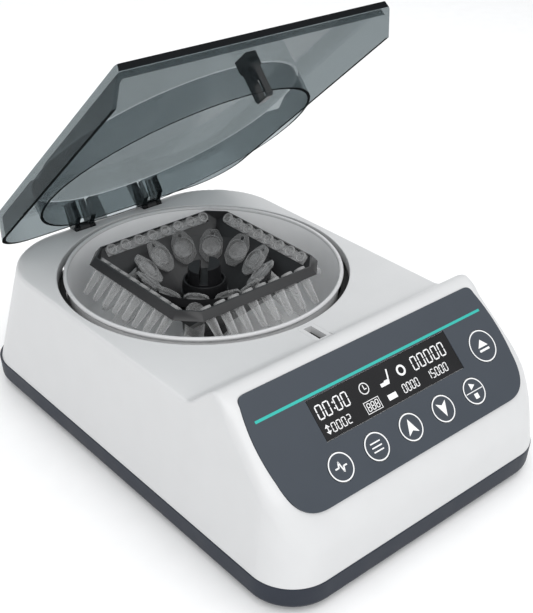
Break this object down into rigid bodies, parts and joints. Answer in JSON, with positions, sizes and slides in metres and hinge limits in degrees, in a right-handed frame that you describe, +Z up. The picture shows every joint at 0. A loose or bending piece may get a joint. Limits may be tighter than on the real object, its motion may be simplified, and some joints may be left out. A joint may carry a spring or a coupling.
{
  "type": "laboratory microcentrifuge",
  "caption": "Bench-top microcentrifuge: white sloping housing on a dark tray, control panel, hinged smoked lid, round chamber and a fixed-angle rotor for microtubes and PCR strips.",
  "frame": {"origin": "on the bench, under the middle of the housing", "axes": "+X to the operator's right, +Y to the back where the lid is hinged, +Z up"},
  "size_m": [0.18, 0.264, 0.2156],
  "materials": {
    "white_abs": "satin white moulding",
    "slate_abs": "dark slate moulding",
    "slate_film": "printed slate film",
    "black_plastic": "black moulding",
    "grey_liner": "satin grey liner",
    "smoke": "clear smoke-tinted moulding",
    "clear_pp": "natural translucent tube plastic",
    "dark_glass": "dark display window",
    "steel": "plain steel",
    "aluminium": "plain aluminium",
    "winding": "varnished copper winding",
    "rubber": "black rubber",
    "board": "circuit board"
  },
  "bodies": {
    "housing": {"top_casing": "white_abs", "base_tray": "slate_abs", "foot_1": "rubber", "foot_2": "rubber", "foot_3": "rubber", "foot_4": "rubber", "case_screw_1": "steel", "case_screw_2": "steel", "case_screw_3": "steel", "case_screw_4": "steel", "bowl": "grey_liner", "chamber_seal": "rubber", "motor_damper_1": "rubber", "motor_damper_2": "rubber", "motor_damper_3": "rubber", "motor_bracket": "steel", "motor_housing": "aluminium", "motor_end_cap": "aluminium", "motor_stator": "winding", "motor_bearing": "steel", "power_supply": "aluminium", "driver_board": "board", "power_entry": "black_plastic", "panel_overlay": "slate_film", "display_window": "dark_glass", "display_board": "board", "lock_housing": "black_plastic", "lock_solenoid": "aluminium", "hinge_bracket": "black_plastic", "hinge_pin_left": "steel", "hinge_pin_right": "steel"},
    "lid": {"lid_cover": "smoke", "latch_hook": "smoke"},
    "rotor": {"motor_rotor": "steel", "rotor_body": "black_plastic", "pcr_strip_1": "clear_pp", "pcr_strip_2": "clear_pp", "pcr_strip_3": "clear_pp", "pcr_strip_4": "clear_pp", "microtube_1": "clear_pp", "microtube_2": "clear_pp", "microtube_3": "clear_pp", "microtube_4": "clear_pp", "microtube_5": "clear_pp", "microtube_6": "clear_pp", "microtube_7": "clear_pp", "microtube_8": "clear_pp", "microtube_9": "clear_pp", "microtube_10": "clear_pp", "microtube_11": "clear_pp", "microtube_12": "clear_pp"},
    "knob": {"rotor_knob": "black_plastic"},
    "bolt": {"lock_bolt": "steel"},
    "rocker": {"power_rocker": "black_plastic"},
    "key_pulse_cap": {"key_pulse": "slate_film"},
    "key_menu_cap": {"key_menu": "slate_film"},
    "key_up_cap": {"key_up": "slate_film"},
    "key_down_cap": {"key_down": "slate_film"},
    "key_start_stop_cap": {"key_start_stop": "slate_film"},
    "key_open_cap": {"key_open": "slate_film"}
  },
  "joints": [
    {"name": "lid_hinge", "type": "hinge", "parent": "housing", "child": "lid", "pos_m": [0, 0.1228, 0.0752], "axis": [1, 0, 0], "range_deg": [-12, 41.6]},
    {"name": "rotor_spin", "type": "hinge", "parent": "housing", "child": "rotor", "pos_m": [0, 0.0385, 0.07], "axis": [0, 0, 1], "continuous": true},
    {"name": "knob_turn", "type": "hinge", "parent": "rotor", "child": "knob", "pos_m": [0, 0.0385, 0.07], "axis": [0, 0, 1], "range_deg": [0, 720]},
    {"name": "bolt_slide", "type": "slide", "parent": "housing", "child": "bolt", "axis": [-1, 0, 0], "range_m": [0, 0.0058], "stiffness_N_per_m": 120, "springref_m": -0.001},
    {"name": "rocker_tilt", "type": "hinge", "parent": "housing", "child": "rocker", "pos_m": [0.048, 0.12726, 0.04385], "axis": [1, 0, 0], "range_deg": [0, 9]},
    {"name": "key_pulse_press", "type": "slide", "parent": "housing", "child": "key_pulse_cap", "axis": [0, 0.6769, -0.7361], "range_m": [0, 0.0004], "stiffness_N_per_m": 2000, "springref_m": -0.0003},
    {"name": "key_menu_press", "type": "slide", "parent": "housing", "child": "key_menu_cap", "axis": [0, 0.6769, -0.7361], "range_m": [0, 0.0004], "stiffness_N_per_m": 2000, "springref_m": -0.0003},
    {"name": "key_up_press", "type": "slide", "parent": "housing", "child": "key_up_cap", "axis": [0, 0.6769, -0.7361], "range_m": [0, 0.0004], "stiffness_N_per_m": 2000, "springref_m": -0.0003},
    {"name": "key_down_press", "type": "slide", "parent": "housing", "child": "key_down_cap", "axis": [0, 0.6769, -0.7361], "range_m": [0, 0.0004], "stiffness_N_per_m": 2000, "springref_m": -0.0003},
    {"name": "key_start_stop_press", "type": "slide", "parent": "housing", "child": "key_start_stop_cap", "axis": [0, 0.6769, -0.7361], "range_m": [0, 0.0004], "stiffness_N_per_m": 2000, "springref_m": -0.0003},
    {"name": "key_open_press", "type": "slide", "parent": "housing", "child": "key_open_cap", "axis": [0, 0.6769, -0.7361], "range_m": [0, 0.0004], "stiffness_N_per_m": 2000, "springref_m": -0.0003}
  ]
}
